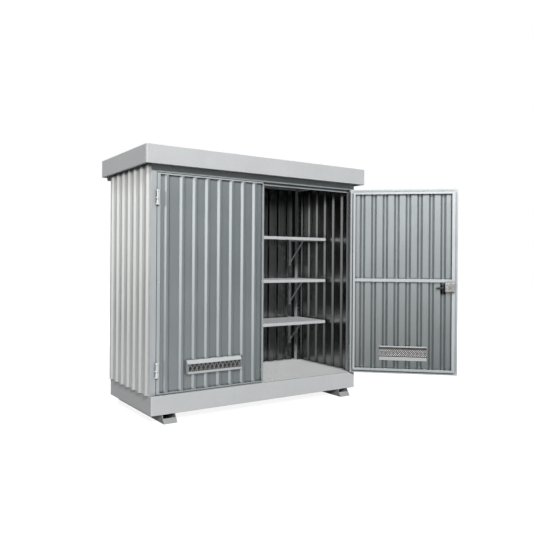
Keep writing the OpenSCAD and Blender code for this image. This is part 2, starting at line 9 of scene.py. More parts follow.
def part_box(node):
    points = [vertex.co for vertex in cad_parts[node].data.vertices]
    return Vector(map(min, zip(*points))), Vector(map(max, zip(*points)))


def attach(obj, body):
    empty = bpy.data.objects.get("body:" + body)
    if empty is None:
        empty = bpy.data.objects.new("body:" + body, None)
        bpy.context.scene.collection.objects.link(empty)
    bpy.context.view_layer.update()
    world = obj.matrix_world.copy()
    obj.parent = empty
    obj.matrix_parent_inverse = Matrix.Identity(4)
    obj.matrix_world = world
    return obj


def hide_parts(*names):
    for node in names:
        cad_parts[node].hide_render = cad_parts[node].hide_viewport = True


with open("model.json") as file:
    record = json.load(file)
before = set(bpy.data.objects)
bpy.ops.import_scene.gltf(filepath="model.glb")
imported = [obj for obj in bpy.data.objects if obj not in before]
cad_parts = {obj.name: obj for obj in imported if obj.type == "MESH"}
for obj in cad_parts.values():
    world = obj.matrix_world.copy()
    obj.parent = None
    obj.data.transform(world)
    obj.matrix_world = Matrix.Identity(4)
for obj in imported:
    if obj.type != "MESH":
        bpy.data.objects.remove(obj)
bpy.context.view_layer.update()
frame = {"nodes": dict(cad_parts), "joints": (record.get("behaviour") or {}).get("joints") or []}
nodes = frame["nodes"]
scene = bpy.context.scene
print("loaded", len(nodes), "nodes")


def addPiece(name, mesh, finish):
    piece = bpy.data.objects.new(name, mesh)
    scene.collection.objects.link(piece)
    piece.data.materials.append(finish)
    return piece


def meshFrom(bm, name):
    bmesh.ops.recalc_face_normals(bm, faces=bm.faces)
    mesh = bpy.data.meshes.new(name)
    bm.to_mesh(mesh)
    bm.free()
    return mesh


def addBlock(bm, low, high):
    size = Vector(high) - Vector(low)
    middle = (Vector(high) + Vector(low)) / 2
    place = Matrix.Translation(middle) @ Matrix.Diagonal((*size, 1))
    bmesh.ops.create_cube(bm, size=1, matrix=place)


# profile is (radius, height) pairs from the bottom middle to the top middle
def addTurned(bm, profile, place, steps=32):
    rings = []
    for radius, height in profile:
        if radius == 0:
            rings.append([bm.verts.new(place @ Vector((0, 0, height)))])
            continue
        ring = []
        for i in range(steps):
            turn = 2 * math.pi * i / steps
            spot = Vector((radius * math.cos(turn), radius * math.sin(turn), height))
            ring.append(bm.verts.new(place @ spot))
        rings.append(ring)
    for a, b in zip(rings, rings[1:]):
        for i in range(steps):
            j = (i + 1) % steps
            if len(a) == 1:
                bm.faces.new((a[0], b[i], b[j]))
            elif len(b) == 1:
                bm.faces.new((a[i], a[j], b[0]))
            else:
                bm.faces.new((a[i], a[j], b[j], b[i]))


# a flat outline in x and y, made a slab from z0 to z1
def addOutline(bm, outline, z0, z1, place=Matrix()):
    low = [bm.verts.new(place @ Vector((x, y, z0))) for x, y in outline]
    high = [bm.verts.new(place @ Vector((x, y, z1))) for x, y in outline]
    bm.faces.new(low)
    bm.faces.new(high)
    for i in range(len(outline)):
        j = (i + 1) % len(outline)
        bm.faces.new((low[i], low[j], high[j], high[i]))


def arc(middle, radius, start, end, steps):
    turns = [start + (end - start) * i / steps for i in range(steps + 1)]
    return [(middle[0] + radius * math.cos(t), middle[1] + radius * math.sin(t)) for t in turns]


# replaces the piece's mesh by the one that its modifiers make
def evaluated(piece):
    bpy.context.view_layer.update()
    graph = bpy.context.evaluated_depsgraph_get()
    mesh = bpy.data.meshes.new_from_object(piece.evaluated_get(graph))
    piece.modifiers.clear()
    piece.data = mesh
    return piece


def roundEdges(piece, width, segments=2, angle=32):
    bevel = piece.modifiers.new("roundEdges", "BEVEL")
    bevel.width = width
    bevel.segments = segments
    bevel.limit_method = "ANGLE"
    bevel.angle_limit = math.radians(angle)
    return evaluated(piece)


def shadeSmooth(piece, angle=35):
    mesh = piece.data
    mesh.polygons.foreach_set("use_smooth", [True] * len(mesh.polygons))
    mesh.set_sharp_from_angle(angle=math.radians(angle))
    return piece


def newTree(name, inputs):
    tree = bpy.data.node_groups.new(name, "GeometryNodeTree")
    tree.interface.new_socket("Geometry", in_out="INPUT", socket_type="NodeSocketGeometry")
    for label, kind in inputs:
        tree.interface.new_socket(label, in_out="INPUT", socket_type="NodeSocket" + kind)
    tree.interface.new_socket("Geometry", in_out="OUTPUT", socket_type="NodeSocketGeometry")
    return tree, tree.nodes.new("NodeGroupInput"), tree.nodes.new("NodeGroupOutput")


def addNode(tree, kind, **settings):
    node = tree.nodes.new(kind)
    for key, value in settings.items():
        if key.startswith("in_"):
            node.inputs[int(key[3:])].default_value = value
        else:
            setattr(node, key, value)
    return node


# what was made, joined to what was given, ends as plain geometry in the finish that was asked for
def finishTree(tree, source, end, made, given=None):
    solid = addNode(tree, "GeometryNodeRealizeInstances")
    paint = addNode(tree, "GeometryNodeSetMaterial")
    if given:
        join = addNode(tree, "GeometryNodeJoinGeometry")
        tree.links.new(given, join.inputs[0])
        tree.links.new(made, join.inputs[0])
        made = join.outputs[0]
    tree.links.new(made, solid.inputs[0])
    tree.links.new(solid.outputs[0], paint.inputs["Geometry"])
    tree.links.new(source.outputs["Finish"], paint.inputs["Material"])
    tree.links.new(paint.outputs[0], end.inputs[0])


def useTree(piece, tree, values):
    use = piece.modifiers.new(tree.name, "NODES")
    use.node_group = tree
    for item in tree.interface.items_tree:
        if item.in_out == "INPUT" and item.name in values:
            use[item.identifier] = values[item.name]


# a row of equal square-edged bars
def barRowTree():
    tree, source, end = newTree("barRow", [
        ("Count", "Int"), ("Start", "Vector"), ("Step", "Vector"), ("Bar", "Vector"), ("Finish", "Material")])
    row = addNode(tree, "GeometryNodeMeshLine", mode="OFFSET")
    bar = addNode(tree, "GeometryNodeMeshCube")
    copies = addNode(tree, "GeometryNodeInstanceOnPoints")
    tree.links.new(source.outputs["Count"], row.inputs["Count"])
    tree.links.new(source.outputs["Start"], row.inputs["Start Location"])
    tree.links.new(source.outputs["Step"], row.inputs["Offset"])
    tree.links.new(source.outputs["Bar"], bar.inputs["Size"])
    tree.links.new(row.outputs[0], copies.inputs["Points"])
    tree.links.new(bar.outputs[0], copies.inputs["Instance"])
    finishTree(tree, source, end, copies.outputs[0], source.outputs["Geometry"])
    return tree


# rows of strands that lean one way and the other, as in expanded metal
def strandNetTree():
    tree, source, end = newTree("strandNet", [
        ("Columns", "Int"), ("Rows", "Int"), ("Low", "Vector"), ("Pitch", "Vector"),
        ("Strand", "Vector"), ("Lean", "Float"), ("Finish", "Material")])
    link = tree.links.new
    total = addNode(tree, "ShaderNodeMath", operation="MULTIPLY")
    link(source.outputs["Columns"], total.inputs[0])
    link(source.outputs["Rows"], total.inputs[1])
    cells = addNode(tree, "GeometryNodeMeshLine", mode="OFFSET")
    link(total.outputs[0], cells.inputs["Count"])
    index = addNode(tree, "GeometryNodeInputIndex")
    column = addNode(tree, "ShaderNodeMath", operation="MODULO")
    ratio = addNode(tree, "ShaderNodeMath", operation="DIVIDE")
    rowNumber = addNode(tree, "ShaderNodeMath", operation="FLOOR")
    for node in (column, ratio):
        link(index.outputs[0], node.inputs[0])
        link(source.outputs["Columns"], node.inputs[1])
    link(ratio.outputs[0], rowNumber.inputs[0])
    cell = addNode(tree, "ShaderNodeCombineXYZ")
    link(column.outputs[0], cell.inputs[0])
    link(rowNumber.outputs[0], cell.inputs[2])
    away = addNode(tree, "ShaderNodeVectorMath", operation="MULTIPLY_ADD")
    link(cell.outputs[0], away.inputs[0])
    link(source.outputs["Pitch"], away.inputs[1])
    link(source.outputs["Low"], away.inputs[2])
    place = addNode(tree, "GeometryNodeSetPosition")
    link(cells.outputs[0], place.inputs["Geometry"])
    link(away.outputs[0], place.inputs["Position"])
    paritySum = addNode(tree, "ShaderNodeMath", operation="ADD")
    link(column.outputs[0], paritySum.inputs[0])
    link(rowNumber.outputs[0], paritySum.inputs[1])
    parity = addNode(tree, "ShaderNodeMath", operation="MODULO", in_1=2.0)
    link(paritySum.outputs[0], parity.inputs[0])
    side = addNode(tree, "ShaderNodeMath", operation="MULTIPLY_ADD", in_1=-2.0, in_2=1.0)
    link(parity.outputs[0], side.inputs[0])
    lean = addNode(tree, "ShaderNodeMath", operation="MULTIPLY")
    link(side.outputs[0], lean.inputs[0])
    link(source.outputs["Lean"], lean.inputs[1])
    turn = addNode(tree, "ShaderNodeCombineXYZ")
    link(lean.outputs[0], turn.inputs[1])
    strand = addNode(tree, "GeometryNodeMeshCube")
    link(source.outputs["Strand"], strand.inputs["Size"])
    copies = addNode(tree, "GeometryNodeInstanceOnPoints")
    link(place.outputs[0], copies.inputs["Points"])
    link(strand.outputs[0], copies.inputs["Instance"])
    link(turn.outputs[0], copies.inputs["Rotation"])
    finishTree(tree, source, end, copies.outputs[0])
    return tree


# a fastener head on each point, turned as asked
def headsTree():
    tree, source, end = newTree("heads", [("Head", "Object"), ("Turn", "Vector"), ("Finish", "Material")])
    link = tree.links.new
    head = addNode(tree, "GeometryNodeObjectInfo")
    link(source.outputs["Head"], head.inputs["Object"])
    spots = addNode(tree, "GeometryNodeMeshToPoints")
    link(source.outputs["Geometry"], spots.inputs[0])
    copies = addNode(tree, "GeometryNodeInstanceOnPoints")
    link(spots.outputs[0], copies.inputs["Points"])
    link(head.outputs["Geometry"], copies.inputs["Instance"])
    link(source.outputs["Turn"], copies.inputs["Rotation"])
    finishTree(tree, source, end, copies.outputs[0])
    return tree


def newMaterial(name):
    material = bpy.data.materials.new(name)
    material.use_nodes = True
    tree = material.node_tree
    return material, tree, tree.nodes["Principled BSDF"]


def objectPattern(tree, scale):
    coords = tree.nodes.get("Coords") or addNode(tree, "ShaderNodeTexCoord", name="Coords")
    mapping = addNode(tree, "ShaderNodeMapping")
    mapping.inputs["Scale"].default_value = scale
    tree.links.new(coords.outputs["Object"], mapping.inputs[0])
    return mapping.outputs[0]


def noise(tree, scale, detail=3.0, stretch=(1, 1, 1)):
    node = addNode(tree, "ShaderNodeTexNoise")
    tree.links.new(objectPattern(tree, stretch), node.inputs["Vector"])
    node.inputs["Scale"].default_value = scale
    node.inputs["Detail"].default_value = detail
    return node.outputs["Fac"]


def mapped(tree, value, low, high, fromLow=0.0, fromHigh=1.0):
    node = addNode(tree, "ShaderNodeMapRange")
    tree.links.new(value, node.inputs["Value"])
    node.inputs["From Min"].default_value = fromLow
    node.inputs["From Max"].default_value = fromHigh
    node.inputs["To Min"].default_value = low
    node.inputs["To Max"].default_value = high
    return node.outputs[0]


def combined(tree, operation, a, b):
    node = addNode(tree, "ShaderNodeMath", operation=operation)
    tree.links.new(a, node.inputs[0])
    if isinstance(b, (int, float)):
        node.inputs[1].default_value = b
    else:
        tree.links.new(b, node.inputs[1])
    return node.outputs[0]


# a patchy noise keeps to the middle of its range
def swing(tree, value, reach):
    return mapped(tree, value, -reach, reach, 0.25, 0.75)


def colourBetween(tree, factor, look):
    ramp = addNode(tree, "ShaderNodeValToRGB")
    for stop, key in zip(ramp.color_ramp.elements, ("darkColour", "lightColour")):
        stop.color = (*look[key], 1)
    tree.links.new(factor, ramp.inputs[0])
    return ramp.outputs[0]


def addBump(tree, shader, height, strength, depth):
    bump = addNode(tree, "ShaderNodeBump")
    bump.inputs["Strength"].default_value = strength
    bump.inputs["Distance"].default_value = depth
    tree.links.new(height, bump.inputs["Height"])
    tree.links.new(bump.outputs[0], shader.inputs["Normal"])
    return bump


# what all the galvanised finishes share; shut and open say how much of its surroundings a fold sees
zinc = {"bendScale": 0.6, "bend": 0.012, "streakRise": 0.9, "cloudDetail": 5.0, "grainDetail": 2.0,
        "grainShare": 0.5, "shut": 0.4, "open": 0.9, "innerEdge": 0.1, "bumpDepth": 0.002,
        "shadeSamples": 6, "foldSamples": 4}


# zinc-coated steel: crystal flakes, cloudy patches, faint run-off streaks; faces turned inward get painted shade,
# a darker colour for the store's shaded inside, and turn fully metallic
def galvanised(name, look, inward=None):
    material, tree, shader = newMaterial(name)
    bend = addNode(tree, "ShaderNodeTexNoise")
    bend.inputs["Scale"].default_value = look["flakesPerMetre"] * zinc["bendScale"]
    tree.links.new(objectPattern(tree, (1, 1, 1)), bend.inputs["Vector"])
    shift = addNode(tree, "ShaderNodeVectorMath", operation="MULTIPLY_ADD", in_1=(zinc["bend"],) * 3)
    tree.links.new(bend.outputs["Color"], shift.inputs[0])
    tree.links.new(objectPattern(tree, (1, 1, 1)), shift.inputs[2])
    flakes = addNode(tree, "ShaderNodeTexVoronoi", feature="F1")
    flakes.inputs["Scale"].default_value = look["flakesPerMetre"]
    tree.links.new(shift.outputs[0], flakes.inputs["Vector"])
    flake = addNode(tree, "ShaderNodeSeparateColor")
    tree.links.new(flakes.outputs["Color"], flake.inputs[0])
    cloud = noise(tree, look["cloudsPerMetre"], zinc["cloudDetail"])
    streak = noise(tree, 1.0, stretch=(look["streaksPerMetre"], look["streaksPerMetre"], zinc["streakRise"]))

    tone = combined(tree, "ADD", mapped(tree, flake.outputs[0], -look["flakeTone"], look["flakeTone"]),
                    swing(tree, cloud, look["cloudTone"]))
    tone = combined(tree, "ADD", tone, swing(tree, streak, look["streakTone"]))
    paint = colourBetween(tree, combined(tree, "ADD", tone, 0.5), look)
    rough = mapped(tree, flake.outputs[1], look["rough"] - look["flakeRough"], look["rough"] + look["flakeRough"])
    rough = combined(tree, "ADD", rough, swing(tree, cloud, look["cloudRough"]))
    shader.inputs["Metallic"].default_value = look["metal"]

    # painted shade: an ambient-occlusion mask darkens the colour in folds, corners and recesses
    shade = addNode(tree, "ShaderNodeAmbientOcclusion", samples=zinc["shadeSamples"])
    shade.inputs["Distance"].default_value = look["creviceReach"]
    paintedShade = mapped(tree, shade.outputs["AO"], look["creviceShadeTone"], 1.0, zinc["shut"], zinc["open"])
    # painted shade: faces turned the inward way get a darker colour for the shade inside the store; they also
    # turn fully metallic and take the inner roughness
    if inward:
        facing = addNode(tree, "ShaderNodeVectorMath", operation="DOT_PRODUCT", in_1=inward)
        tree.links.new(tree.nodes["Coords"].outputs["Normal"], facing.inputs[0])
        inner = mapped(tree, facing.outputs["Value"], 0.0, 1.0, 0.0, zinc["innerEdge"])
        tree.links.new(mapped(tree, inner, look["metal"], 1.0), shader.inputs["Metallic"])
        paintedShade = combined(tree, "MULTIPLY", paintedShade, mapped(tree, inner, 1.0, look["innerShadeTone"]))
        rough = combined(tree, "ADD", rough, mapped(tree, inner, 0.0, look["innerRough"] - look["rough"]))
    shadedPaint = addNode(tree, "ShaderNodeVectorMath", operation="SCALE")
    tree.links.new(paint, shadedPaint.inputs[0])
    tree.links.new(paintedShade, shadedPaint.inputs["Scale"])
    tree.links.new(shadedPaint.outputs[0], shader.inputs["Base Color"])
    tree.links.new(rough, shader.inputs["Roughness"])

    grain = noise(tree, look["grainPerMetre"], zinc["grainDetail"])
    height = combined(tree, "ADD", mapped(tree, grain, 0.0, zinc["grainShare"]), mapped(tree, cloud, 0.0, 1.0))
    bump = addBump(tree, shader, height, look["bump"], zinc["bumpDepth"])
    if look["foldRadius"]:
        fold = addNode(tree, "ShaderNodeBevel", samples=zinc["foldSamples"])
        fold.inputs["Radius"].default_value = look["foldRadius"]
        tree.links.new(fold.outputs[0], bump.inputs["Normal"])
    return material


def plastic(name, look):
    material, tree, shader = newMaterial(name)
    grain = noise(tree, look["grainPerMetre"], detail=2.0)
    paint = colourBetween(tree, noise(tree, look["cloudsPerMetre"]), look)
    tree.links.new(paint, shader.inputs["Base Color"])
    rough = mapped(tree, grain, look["rough"] - look["grainRough"], look["rough"] + look["grainRough"])
    tree.links.new(rough, shader.inputs["Roughness"])
    addBump(tree, shader, grain, look["bump"], look["bumpDepth"])
    return material


# a tone is how far its pattern moves the mix of the two colours; painted shade darkens the colour within
# creviceReach metres of folds and corners, down to the crevice shade tone
plateLook = {
    "darkColour": (0.53, 0.545, 0.555), "lightColour": (0.63, 0.645, 0.65),
    "metal": 0.1, "rough": 0.5, "flakeRough": 0.06, "cloudRough": 0.05, "bump": 0.10, "foldRadius": 0.005,
    "flakesPerMetre": 70.0, "cloudsPerMetre": 3.2, "streaksPerMetre": 9.0, "grainPerMetre": 260.0,
    "flakeTone": 0.09, "cloudTone": 0.12, "streakTone": 0.08,
    "creviceReach": 0.02, "creviceShadeTone": 0.3, "innerShadeTone": 0.5, "innerRough": 0.3}
ventLook = dict(plateLook, darkColour=(0.45, 0.465, 0.475), lightColour=(0.54, 0.555, 0.56))
frameLook = {
    "darkColour": (0.50, 0.535, 0.555), "lightColour": (0.60, 0.635, 0.65),
    "metal": 0.4, "rough": 0.42, "flakeRough": 0.03, "cloudRough": 0.05, "bump": 0.03, "foldRadius": 0.002,
    "flakesPerMetre": 80.0, "cloudsPerMetre": 3.0, "streaksPerMetre": 10.0, "grainPerMetre": 280.0,
    "flakeTone": 0.08, "cloudTone": 0.11, "streakTone": 0.08,
    "creviceReach": 0.045, "creviceShadeTone": 0.15}
wallLook = {
    "darkColour": (0.72, 0.735, 0.735), "lightColour": (0.83, 0.845, 0.84),
    "metal": 0.8, "rough": 0.31, "flakeRough": 0.01, "cloudRough": 0.02, "bump": 0.003, "foldRadius": 0.006,
    "flakesPerMetre": 95.0, "cloudsPerMetre": 2.4, "streaksPerMetre": 14.0, "grainPerMetre": 320.0,
    "flakeTone": 0.035, "cloudTone": 0.12, "streakTone": 0.16,
    "creviceReach": 0.09, "creviceShadeTone": 0.1, "innerShadeTone": 0.42, "innerRough": 0.2}
roofLook = dict(wallLook, darkColour=(0.29, 0.297, 0.297), lightColour=(0.37, 0.377, 0.373), metal=0.3,
                rough=0.55, flakeRough=0.04, cloudRough=0.04, bump=0.03, innerShadeTone=0.68)
sheetLook = dict(wallLook, darkColour=(0.56, 0.61, 0.625), lightColour=(0.66, 0.71, 0.725), metal=0.9,
                 creviceReach=0.025, creviceShadeTone=0.15, innerShadeTone=0.73, innerRough=0.31)
runnerLook = {
    "darkColour": (0.28, 0.285, 0.285), "lightColour": (0.38, 0.385, 0.385),
    "metal": 0.1, "rough": 0.55, "flakeRough": 0.06, "cloudRough": 0.05, "bump": 0.14, "foldRadius": 0.003,
    "flakesPerMetre": 90.0, "cloudsPerMetre": 7.0, "streaksPerMetre": 12.0, "grainPerMetre": 300.0,
    "flakeTone": 0.08, "cloudTone": 0.2, "streakTone": 0.08,
    "creviceReach": 0.02, "creviceShadeTone": 0.3}
barLook = {
    "darkColour": (0.86, 0.87, 0.87), "lightColour": (0.97, 0.97, 0.97),
    "metal": 0.2, "rough": 0.42, "flakeRough": 0.08, "cloudRough": 0.05, "bump": 0.12, "foldRadius": 0,
    "flakesPerMetre": 160.0, "cloudsPerMetre": 8.0, "streaksPerMetre": 20.0, "grainPerMetre": 500.0,
    "flakeTone": 0.10, "cloudTone": 0.14, "streakTone": 0.05,
    "creviceReach": 0.02, "creviceShadeTone": 0.7}
fittingLook = {
    "darkColour": (0.70, 0.72, 0.72), "lightColour": (0.90, 0.92, 0.92),
    "metal": 0.25, "rough": 0.38, "flakeRough": 0.05, "cloudRough": 0.05, "bump": 0.08, "foldRadius": 0.0015,
    "flakesPerMetre": 300.0, "cloudsPerMetre": 22.0, "streaksPerMetre": 40.0, "grainPerMetre": 900.0,
    "flakeTone": 0.06, "cloudTone": 0.16, "streakTone": 0.06,
    "creviceReach": 0.006, "creviceShadeTone": 0.75}
netLook = {
    "darkColour": (0.07, 0.068, 0.064), "lightColour": (0.20, 0.20, 0.19),
    "metal": 0.3, "rough": 0.45, "flakeRough": 0.06, "cloudRough": 0.05, "bump": 0.10, "foldRadius": 0,
    "flakesPerMetre": 250.0, "cloudsPerMetre": 20.0, "streaksPerMetre": 30.0, "grainPerMetre": 800.0,
    "flakeTone": 0.10, "cloudTone": 0.16, "streakTone": 0.06,
    "creviceReach": 0.006, "creviceShadeTone": 0.35}
dullLook = {
    "darkColour": (0.20, 0.20, 0.195), "lightColour": (0.52, 0.52, 0.51),
    "metal": 0.5, "rough": 0.42, "flakeRough": 0.05, "cloudRough": 0.05, "bump": 0.10, "foldRadius": 0.0015,
    "flakesPerMetre": 90.0, "cloudsPerMetre": 60.0, "streaksPerMetre": 40.0, "grainPerMetre": 900.0,
    "flakeTone": 0.25, "cloudTone": 0.30, "streakTone": 0.06,
    "creviceReach": 0.006, "creviceShadeTone": 0.35}
strandLook = dict(dullLook, darkColour=(0.42, 0.43, 0.43), lightColour=(0.78, 0.79, 0.78))
handleLook = {
    "darkColour": (0.012, 0.012, 0.013), "lightColour": (0.024, 0.024, 0.026),
    "rough": 0.42, "grainRough": 0.08, "grainPerMetre": 1400.0, "cloudsPerMetre": 12.0,
    "bump": 0.15, "bumpDepth": 0.0005}

galvanisedPlate = galvanised("galvanisedPlate", plateLook)
ventPlate = galvanised("ventPlate", ventLook)
# the rear posts' faces turned to the inside also get painted shade, a darker colour
rearPostPlate = galvanised("rearPostPlate", plateLook, (0, -1, 0))
galvanisedFrame = galvanised("galvanisedFrame", frameLook)
galvanisedBar = galvanised("galvanisedBar", barLook)
# runners get a darker, patchier galvanised finish than the plates
darkRunner = galvanised("darkRunner", runnerLook)
zincFitting = galvanised("zincFitting", fittingLook)
dullSteel = galvanised("dullSteel", dullLook)
meshSteel = galvanised("meshSteel", netLook)
strandSteel = galvanised("strandSteel", strandLook)
handleBlack = plastic("handleBlack", handleLook)

# the way that each sheet's inner face points; these faces get painted shade, a darker colour for the store's
# shaded inside
sheetInward = {"left_wall": (1, 0, 0), "right_wall": (-1, 0, 0), "rear_wall": (0, -1, 0), "roof_deck": (0, 0, -1),
               "left_door_sheet": (0, 1, 0), "right_door_sheet": (-0.682, -0.731, 0)}
sheetLooks = {"roof_deck": roofLook, "left_door_sheet": sheetLook, "right_door_sheet": sheetLook}
frameNodes = ["front_left_post", "front_right_post", "lintel", "left_door_frame", "right_door_frame",
              "left_door_rail", "right_door_rail", "left_door_strip"]
barNodes = ["grating_bearers", "shelf_brackets"]
fittingNodes = ["frame_hinges", "left_door_hinges", "right_door_hinges"]
for name, node in nodes.items():
    finish = galvanisedPlate
    if name in sheetInward:
        finish = galvanised("galvanised_" + name, sheetLooks.get(name, wallLook), sheetInward[name])
    elif name in ("rear_left_post", "rear_right_post"):
        finish = rearPostPlate
    elif name in ("left_door_vent", "right_door_vent"):
        finish = ventPlate
    elif name in frameNodes:
        finish = galvanisedFrame
    elif name.endswith("runner"):
        finish = darkRunner
    elif name in barNodes:
        finish = galvanisedBar
    elif name in fittingNodes:
        finish = zincFitting
    node.data.materials.clear()
    node.data.materials.append(finish)
print("finishes made")


# from here on, measures are in metres and angles in degrees
leaf = {"back": 0.021, "frameBack": 0.049, "face": 0.013, "hingeEdge": 0.0025, "bottom": 0.236,
        "rightOpen": 137.0}
joints = {joint["name"]: joint for joint in frame["joints"]}


# from a leaf's own measures (across from its hinge edge, back from its face, up) to the store's
def leafPlace(side, closed=False):
    joint = joints["left_door_hinge" if side < 0 else "right_door_hinge"]
    spot = joint["pos_m"]
    opened = 0.0 if side < 0 or closed else math.radians(leaf["rightOpen"])
    place = Matrix.Translation((spot[0], spot[1], leaf["bottom"])) @ Matrix.Rotation(opened, 4, "Z")
    if side > 0:
        place = place @ Matrix.Diagonal((-1, 1, 1, 1))
    return place @ Matrix.Translation((leaf["hingeEdge"], leaf["face"], 0))


# puts a piece that was made in a leaf's own measures on its leaf
def hang(piece, side, closed=False):
    bm = bmesh.new()
    bm.from_mesh(piece.data)
    bm.transform(leafPlace(side, closed))
    if side > 0:
        bmesh.ops.reverse_faces(bm, faces=bm.faces)
    bm.to_mesh(piece.data)
    bm.free()
    piece.data.update()
    return piece


grating = {"border": 0.003, "bar": 0.004, "barPitch": 0.0222, "cross": 0.003, "crossPitch": 0.0333,
           "crossDepth": 0.012, "play": 0.001}
barRow = barRowTree()


def makeGrating(name, node):
    low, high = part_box(node)
    piece = addPiece(name, bpy.data.meshes.new(name), galvanisedBar)
    edge, play, depth = grating["border"], grating["play"], grating["crossDepth"]
    size = high - low
    middle = (low + high) / 2
    count = round((size.x - 2 * edge) / grating["barPitch"])
    step = (size.x - 2 * edge) / count
    countY = round((size.y - 2 * edge) / grating["crossPitch"])
    stepY = (size.y - 2 * edge) / countY
    # bars, cross bars, then the border's long and short sides
    rows = [
        (count - 1, (low.x + edge + step, middle.y, middle.z), (step, 0, 0),
         (grating["bar"], size.y - edge, size.z - play)),
        (countY - 1, (middle.x, low.y + edge + stepY, high.z - depth / 2 - play), (0, stepY, 0),
         (size.x - edge, grating["cross"], depth)),
        (2, (middle.x, low.y + edge / 2, middle.z), (0, size.y - edge, 0), (size.x, edge, size.z)),
        (2, (low.x + edge / 2, middle.y, middle.z), (size.x - edge, 0, 0), (edge, size.y - 2 * edge, size.z))]
    for number, start, away, bar in rows:
        useTree(piece, barRow, {
            "Count": number, "Start": start, "Step": away, "Bar": bar, "Finish": galvanisedBar})
    evaluated(piece)
    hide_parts(node)
    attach(piece, "store")


makeGrating("leftGratingBars", "left_grating")
makeGrating("rightGratingBars", "right_grating")
print("gratings made")


# left and right say from where to where each leaf's vent runs
vent = {"left": (0.286, 0.824), "right": (0.287, 0.778), "bottom": 0.1545, "top": 0.2645, "frontTop": 0.2355,
        "front": -0.0205, "back": 0.009, "columns": 25, "rows": 2, "closeColumns": 50, "closeRows": 9,
        "strand": 0.0036, "closeStrand": 0.0084, "thick": 0.0015, "overlap": 0.4}
strandNet = strandNetTree()


def addNet(piece, low, high, w, rows, columns, strand, finish):
    pitchX = (high[0] - low[0]) / columns
    pitchZ = (high[1] - low[1]) / rows
    useTree(piece, strandNet, {
        "Columns": columns, "Rows": rows,
        "Low": (low[0] + pitchX / 2, w, low[1] + pitchZ / 2), "Pitch": (pitchX, 1, pitchZ),
        "Strand": (math.hypot(pitchX, pitchZ) + strand * vent["overlap"], vent["thick"], strand),
        "Lean": math.atan2(pitchZ, pitchX), "Finish": finish})


def makeVentMeshes(word, side, node, body):
    outer = addPiece(word + "VentScreen", bpy.data.meshes.new(word + "VentScreen"), strandSteel)
    inner = addPiece(word + "VentMesh", bpy.data.meshes.new(word + "VentMesh"), meshSteel)
    u0, u1 = vent[word]
    addNet(outer, (u0, vent["bottom"]), (u1, vent["frontTop"]), vent["front"],
           vent["rows"], vent["columns"], vent["strand"], strandSteel)
    addNet(inner, (u0, vent["bottom"]), (u1, vent["top"]), vent["back"],
           vent["closeRows"], vent["closeColumns"], vent["closeStrand"], meshSteel)
    for piece in (outer, inner):
        hang(evaluated(piece), side)
        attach(piece, body)
    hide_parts(node)


makeVentMeshes("left", -1, "left_door_mesh", "left_door")
makeVentMeshes("right", 1, "right_door_mesh", "right_door")
print("vent meshes made")


lock = {"case": (0.941, 0.838, 1.035, 0.934), "out": 0.075, "inner": 1.0018, "spindle": (0.9265, 0.874),
        "lidStep": 0.002, "lidInset": 0.006, "round": 0.0016, "seat": 0.001, "screwInset": 0.013,
        "bossRadius": 0.016, "bossOut": 0.080, "bossShoulder": 0.6, "bossRim": 0.8, "bossEdge": 0.0012,
        "dish": 0.55, "dishRadius": 0.012, "dishSlope": 0.0005, "barrel": 0.007,
        "keyWidth": 0.0024, "keyHeight": 0.010}
sideways = Matrix.Rotation(math.radians(-90), 4, "X")
upright = Matrix(((1, 0, 0, 0), (0, 0, 1, 0), (0, 1, 0, 0), (0, 0, 0, 1)))  # an outline's y runs up the leaf


def makeLockCase():
    u0, z0, u1, z1 = lock["case"]
    u, z = (u0 + u1) / 2, (z0 + z1) / 2
    out, step, inset, seat = lock["out"], lock["lidStep"], lock["lidInset"], lock["seat"]
    bm = bmesh.new()
    addBlock(bm, (u0, leaf["frameBack"], z0), (u1, out - step, z1))
    addBlock(bm, (u0, leaf["back"], z0), (lock["inner"], leaf["frameBack"] + seat, z1))
    addBlock(bm, (u0 + inset, out - 2 * step, z0 + inset), (u1 - inset, out, z1 - inset))
    case = roundEdges(addPiece("lockCase", meshFrom(bm, "lockCase"), dullSteel), lock["round"])
    bm = bmesh.new()
    r, slope = lock["bossRadius"], lock["dishSlope"]
    rise = lock["bossOut"] - out + seat
    shoulder, rim, dish = rise * lock["bossShoulder"], rise * lock["bossRim"], rise * lock["dish"]
    addTurned(bm, [(0, 0), (r, 0), (r, shoulder), (r - lock["bossEdge"], rim), (lock["dishRadius"], rim),
                   (lock["dishRadius"] - slope, dish), (lock["barrel"] + slope, dish), (lock["barrel"], rise),
                   (0, rise)], Matrix.Translation((u, out - seat, z)) @ sideways, steps=40)
    halfWidth, halfHeight = lock["keyWidth"] / 2, lock["keyHeight"] / 2
    addBlock(bm, (u - halfWidth, lock["bossOut"] - seat, z - halfHeight),
             (u + halfWidth, lock["bossOut"], z + halfHeight))
    boss = shadeSmooth(addPiece("lockBoss", meshFrom(bm, "lockBoss"), dullSteel))
    for piece in (case, boss):
        hang(piece, 1)
        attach(piece, "right_door")
    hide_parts("lock_case")


plates = {"width": 0.018, "innerHeight": 0.090, "innerDrop": 0.014, "innerThick": 0.014,
          "outerHeight": 0.150, "outerThick": 0.004, "seat": 0.001, "corner": 0.42, "round": 0.0012}


def roundedPlate(bm, middle, width, height, w0, w1):
    r = width * plates["corner"]
    x, z = width / 2 - r, height / 2 - r
    outline = []
    for cx, cz, start in ((x, z, 0), (-x, z, 90), (-x, -z, 180), (x, -z, 270)):
        corner = (middle[0] + cx, middle[1] + cz)
        outline += arc(corner, r, math.radians(start), math.radians(start + 90), steps=6)
    addOutline(bm, outline, w0, w1, upright)


